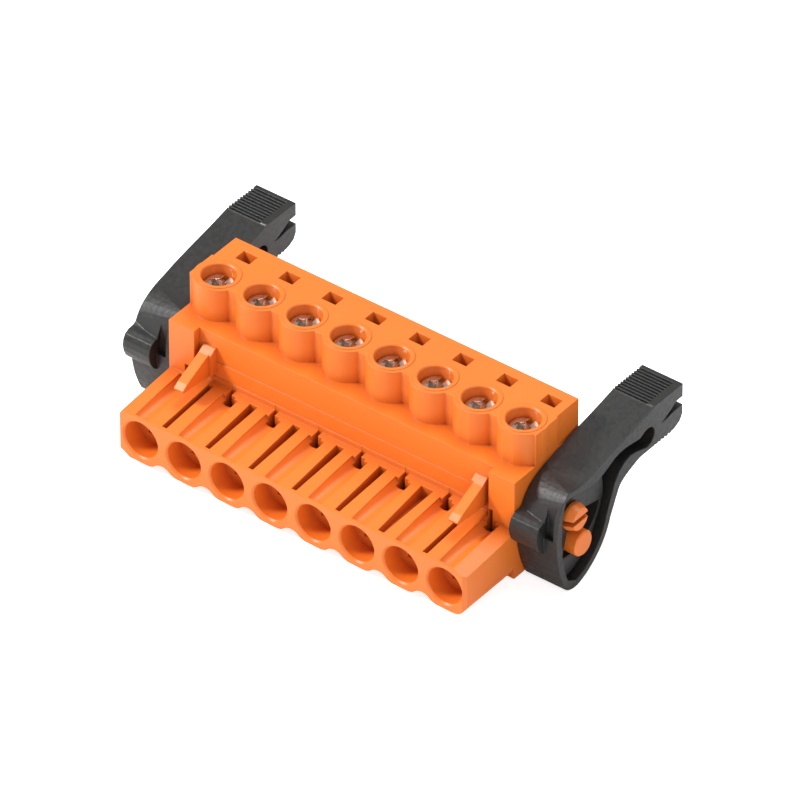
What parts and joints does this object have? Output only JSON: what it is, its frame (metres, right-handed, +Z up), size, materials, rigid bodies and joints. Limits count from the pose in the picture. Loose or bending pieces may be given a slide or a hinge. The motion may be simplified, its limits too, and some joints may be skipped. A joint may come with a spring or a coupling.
{
  "type": "pluggable terminal block",
  "caption": "Pluggable screw terminal block with round socket mouths, rising clamp yokes and a release lever hinged on a snap stud at each end.",
  "frame": {"origin": "centre of the row of sockets, on the mating face", "axes": "+X along the row, +Y from the mating face to the wire side, +Z up towards the screws"},
  "size_m": [0.0508, 0.027, 0.0155],
  "materials": {
    "orange_plastic": "fine moulded satin",
    "black_plastic": "fine spark-eroded grain",
    "zinc_steel": "bright zinc plate",
    "zinc_yoke": "zinc plate",
    "tinned_copper": "tin plate"
  },
  "bodies": {
    "block": {"housing": "orange_plastic", "contact_1": "tinned_copper", "contact_2": "tinned_copper", "contact_3": "tinned_copper", "contact_4": "tinned_copper", "contact_5": "tinned_copper", "contact_6": "tinned_copper", "contact_7": "tinned_copper", "contact_8": "tinned_copper"},
    "release_lever_left": {"lever_left": "black_plastic"},
    "release_lever_right": {"lever_right": "black_plastic"},
    "screw_1": {"clamp_screw_1": "zinc_steel"},
    "yoke_1": {"clamp_yoke_1": "zinc_yoke"},
    "screw_2": {"clamp_screw_2": "zinc_steel"},
    "yoke_2": {"clamp_yoke_2": "zinc_yoke"},
    "screw_3": {"clamp_screw_3": "zinc_steel"},
    "yoke_3": {"clamp_yoke_3": "zinc_yoke"},
    "screw_4": {"clamp_screw_4": "zinc_steel"},
    "yoke_4": {"clamp_yoke_4": "zinc_yoke"},
    "screw_5": {"clamp_screw_5": "zinc_steel"},
    "yoke_5": {"clamp_yoke_5": "zinc_yoke"},
    "screw_6": {"clamp_screw_6": "zinc_steel"},
    "yoke_6": {"clamp_yoke_6": "zinc_yoke"},
    "screw_7": {"clamp_screw_7": "zinc_steel"},
    "yoke_7": {"clamp_yoke_7": "zinc_yoke"},
    "screw_8": {"clamp_screw_8": "zinc_steel"},
    "yoke_8": {"clamp_yoke_8": "zinc_yoke"}
  },
  "joints": [
    {"name": "release_swing_left", "type": "hinge", "parent": "block", "child": "release_lever_left", "pos_m": [-0.0227, 0.01067, 0.00484], "axis": [-1, 0, 0], "range_deg": [0, 42]},
    {"name": "release_swing_right", "type": "hinge", "parent": "block", "child": "release_lever_right", "pos_m": [0.0227, 0.01067, 0.00484], "axis": [-1, 0, 0], "range_deg": [0, 42]},
    {"name": "screw_turn_1", "type": "hinge", "parent": "block", "child": "screw_1", "pos_m": [-0.01778, 0.01208, 0.0104], "axis": [0, 0, -1], "range_deg": [0, 1925]},
    {"name": "yoke_lift_1", "type": "slide", "parent": "block", "child": "yoke_1", "axis": [0, 0, 1], "range_m": [0, 0.0024]},
    {"name": "screw_turn_2", "type": "hinge", "parent": "block", "child": "screw_2", "pos_m": [-0.0127, 0.01208, 0.0104], "axis": [0, 0, -1], "range_deg": [0, 1925]},
    {"name": "yoke_lift_2", "type": "slide", "parent": "block", "child": "yoke_2", "axis": [0, 0, 1], "range_m": [0, 0.0024]},
    {"name": "screw_turn_3", "type": "hinge", "parent": "block", "child": "screw_3", "pos_m": [-0.00762, 0.01208, 0.0104], "axis": [0, 0, -1], "range_deg": [0, 1925]},
    {"name": "yoke_lift_3", "type": "slide", "parent": "block", "child": "yoke_3", "axis": [0, 0, 1], "range_m": [0, 0.0024]},
    {"name": "screw_turn_4", "type": "hinge", "parent": "block", "child": "screw_4", "pos_m": [-0.00254, 0.01208, 0.0104], "axis": [0, 0, -1], "range_deg": [0, 1925]},
    {"name": "yoke_lift_4", "type": "slide", "parent": "block", "child": "yoke_4", "axis": [0, 0, 1], "range_m": [0, 0.0024]},
    {"name": "screw_turn_5", "type": "hinge", "parent": "block", "child": "screw_5", "pos_m": [0.00254, 0.01208, 0.0104], "axis": [0, 0, -1], "range_deg": [0, 1925]},
    {"name": "yoke_lift_5", "type": "slide", "parent": "block", "child": "yoke_5", "axis": [0, 0, 1], "range_m": [0, 0.0024]},
    {"name": "screw_turn_6", "type": "hinge", "parent": "block", "child": "screw_6", "pos_m": [0.00762, 0.01208, 0.0104], "axis": [0, 0, -1], "range_deg": [0, 1925]},
    {"name": "yoke_lift_6", "type": "slide", "parent": "block", "child": "yoke_6", "axis": [0, 0, 1], "range_m": [0, 0.0024]},
    {"name": "screw_turn_7", "type": "hinge", "parent": "block", "child": "screw_7", "pos_m": [0.0127, 0.01208, 0.0104], "axis": [0, 0, -1], "range_deg": [0, 1925]},
    {"name": "yoke_lift_7", "type": "slide", "parent": "block", "child": "yoke_7", "axis": [0, 0, 1], "range_m": [0, 0.0024]},
    {"name": "screw_turn_8", "type": "hinge", "parent": "block", "child": "screw_8", "pos_m": [0.01778, 0.01208, 0.0104], "axis": [0, 0, -1], "range_deg": [0, 1925]},
    {"name": "yoke_lift_8", "type": "slide", "parent": "block", "child": "yoke_8", "axis": [0, 0, 1], "range_m": [0, 0.0024]}
  ],
  "couplings": [
    {"joint": "screw_turn_1", "follows": "yoke_lift_1", "rad_per_m": 13963},
    {"joint": "screw_turn_2", "follows": "yoke_lift_2", "rad_per_m": 13963},
    {"joint": "screw_turn_3", "follows": "yoke_lift_3", "rad_per_m": 13963},
    {"joint": "screw_turn_4", "follows": "yoke_lift_4", "rad_per_m": 13963},
    {"joint": "screw_turn_5", "follows": "yoke_lift_5", "rad_per_m": 13963},
    {"joint": "screw_turn_6", "follows": "yoke_lift_6", "rad_per_m": 13963},
    {"joint": "screw_turn_7", "follows": "yoke_lift_7", "rad_per_m": 13963},
    {"joint": "screw_turn_8", "follows": "yoke_lift_8", "rad_per_m": 13963}
  ]
}
